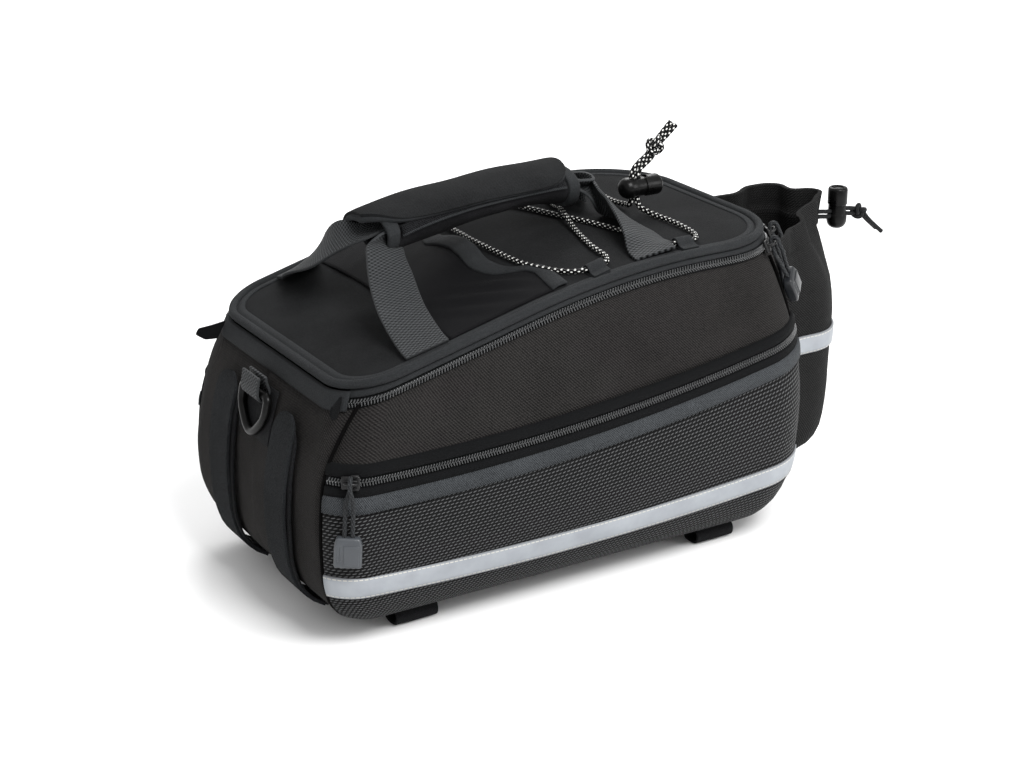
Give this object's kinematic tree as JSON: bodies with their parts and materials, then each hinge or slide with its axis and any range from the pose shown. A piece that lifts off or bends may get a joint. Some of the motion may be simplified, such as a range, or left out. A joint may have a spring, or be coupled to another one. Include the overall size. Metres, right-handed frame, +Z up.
{
  "type": "bicycle trunk bag",
  "caption": "Zipped bag that sits on a bicycle's rear rack, with a carry handle, laced bungee cord, mesh side pockets and a bottle pocket.",
  "frame": {"origin": "centre of the flat base underside, between the two rack straps", "axes": "+X to the rear, where the bottle pocket is; -Y the near side; +Z up"},
  "size_m": [0.405, 0.1889, 0.227],
  "materials": {
    "twill": "coarse polyester twill, matt",
    "lid_fabric": "close woven, matt",
    "stretch": "smooth stretch knit, slight sheen",
    "trim": "grosgrain and binding tape, matt",
    "webbing": "ribbed webbing",
    "felt": "loop side of hook-and-loop tape, fuzzy",
    "hook_tape": "hook side of hook-and-loop tape",
    "mesh": "padded mesh with small dashes",
    "zip": "coil zip with painted sliders",
    "black_plastic": "moulded, glossy",
    "grey_plastic": "moulded, satin",
    "cord": "braided cord",
    "reflective": "retroreflective tape with fine ribs"
  },
  "bodies": {
    "bag": {"bag_shell": "twill", "lid_panel": "lid_fabric", "lid_piping": "trim", "lid_zip": "zip", "lid_hinge_strip": "trim", "zip_end_tab_near": "trim", "zip_end_tab_far": "trim", "handle_grip": "trim", "handle_flap": "lid_fabric", "lid_pocket": "stretch", "lid_pocket_binding": "trim", "bungee_cord": "cord", "lid_lock_barrel": "black_plastic", "bungee_knot": "cord", "bottle_pocket": "twill", "bottle_reflector": "reflective", "bottle_cord_upper": "cord", "bottle_cord_lower": "cord", "bottle_lock_barrel": "black_plastic", "bottle_knot": "cord", "front_patch": "hook_tape", "ring_loop": "webbing", "rack_strap_front": "webbing", "rack_strap_rear": "webbing", "lid_slider_a": "zip", "lid_pull_a_cord": "cord", "lid_pull_a_end": "grey_plastic", "lid_slider_b": "zip", "lid_pull_b_cord": "cord", "lid_pull_b_end": "grey_plastic", "pocket_mesh_near": "mesh", "pocket_tape_upper_near": "trim", "pocket_zip_near": "zip", "pocket_tape_lower_near": "trim", "reflective_strip_near": "reflective", "pocket_slider_near": "zip", "pocket_pull_near_cord": "cord", "pocket_pull_near_end": "grey_plastic", "handle_strap_near": "webbing", "cord_loop_front_near": "webbing", "cord_loop_rear_near": "webbing", "front_hook_near": "hook_tape", "front_strap_near": "felt", "pocket_mesh_far": "mesh", "pocket_tape_upper_far": "trim", "pocket_zip_far": "zip", "pocket_tape_lower_far": "trim", "reflective_strip_far": "reflective", "pocket_slider_far": "zip", "pocket_pull_far_cord": "cord", "pocket_pull_far_end": "grey_plastic", "handle_strap_far": "webbing", "cord_loop_front_far": "webbing", "cord_loop_rear_far": "webbing", "front_hook_far": "hook_tape", "front_strap_far": "felt"},
    "ring": {"tri_ring": "black_plastic"},
    "lid_lock_plunger": {"lid_lock_button": "black_plastic"},
    "bottle_lock_plunger": {"bottle_lock_button": "black_plastic"}
  },
  "joints": [
    {"name": "ring_swing", "type": "hinge", "parent": "bag", "child": "ring", "pos_m": [-0.14495, 0, 0.105], "axis": [0, 1, 0], "range_deg": [0, 100]},
    {"name": "lid_lock_press", "type": "slide", "parent": "bag", "child": "lid_lock_plunger", "axis": [-1, 0, 0], "range_m": [0, 0.0035], "stiffness_N_per_m": 400},
    {"name": "bottle_lock_press", "type": "slide", "parent": "bag", "child": "bottle_lock_plunger", "axis": [0, 0, -1], "range_m": [0, 0.0035], "stiffness_N_per_m": 400}
  ]
}
